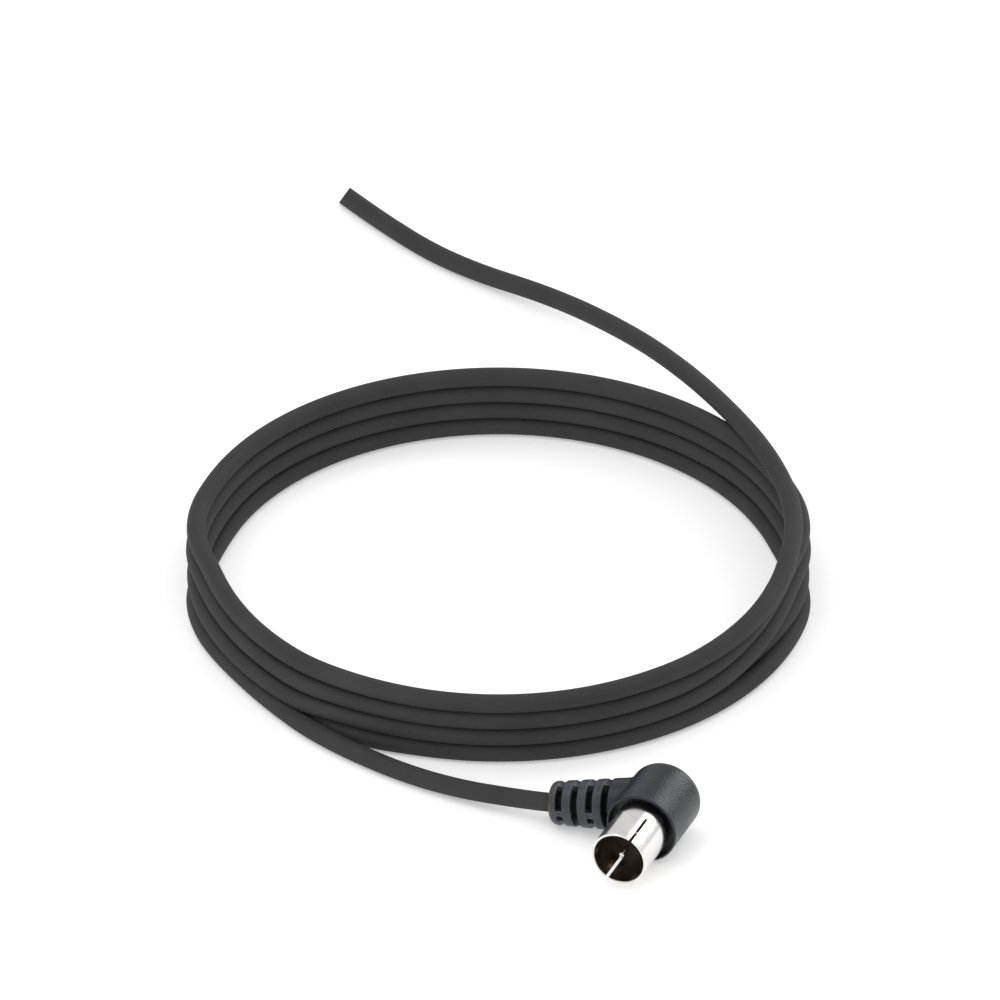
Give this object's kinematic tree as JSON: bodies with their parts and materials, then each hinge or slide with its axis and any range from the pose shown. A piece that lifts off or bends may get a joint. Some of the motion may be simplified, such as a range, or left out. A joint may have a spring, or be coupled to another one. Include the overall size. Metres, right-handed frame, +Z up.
{
  "type": "fm indoor wire antenna",
  "caption": "Coiled black FM wire antenna, cut plain at one end, with a moulded right-angle push-on coaxial plug for a radio's aerial socket at the other.",
  "frame": {"origin": "on the floor, under the middle of the plug's box", "axes": "-Y is the way the plug's sleeve and pin point, -X the way the boot and wire leave, +Z up from the floor that plug and coil lie on"},
  "size_m": [0.1426, 0.1985, 0.0176],
  "materials": {
    "moulding_pvc": "satin, fine moulded grain",
    "premould_plastic": "plain",
    "nickel": "bright nickel plate",
    "insulator_plastic": "satin",
    "pin_metal": "nickel plate",
    "solder": "dull",
    "copper": "bare copper",
    "cable_jacket": "satin PVC"
  },
  "bodies": {
    "root": {"plug_overmould": "moulding_pvc", "inner_premould": "premould_plastic", "contact_sleeve": "nickel", "insulator": "insulator_plastic", "centre_pin": "pin_metal", "solder_joint": "solder", "conductor_end": "copper", "antenna_lead": "cable_jacket", "antenna_coil": "cable_jacket", "antenna_tail": "cable_jacket"}
  },
  "joints": []
}
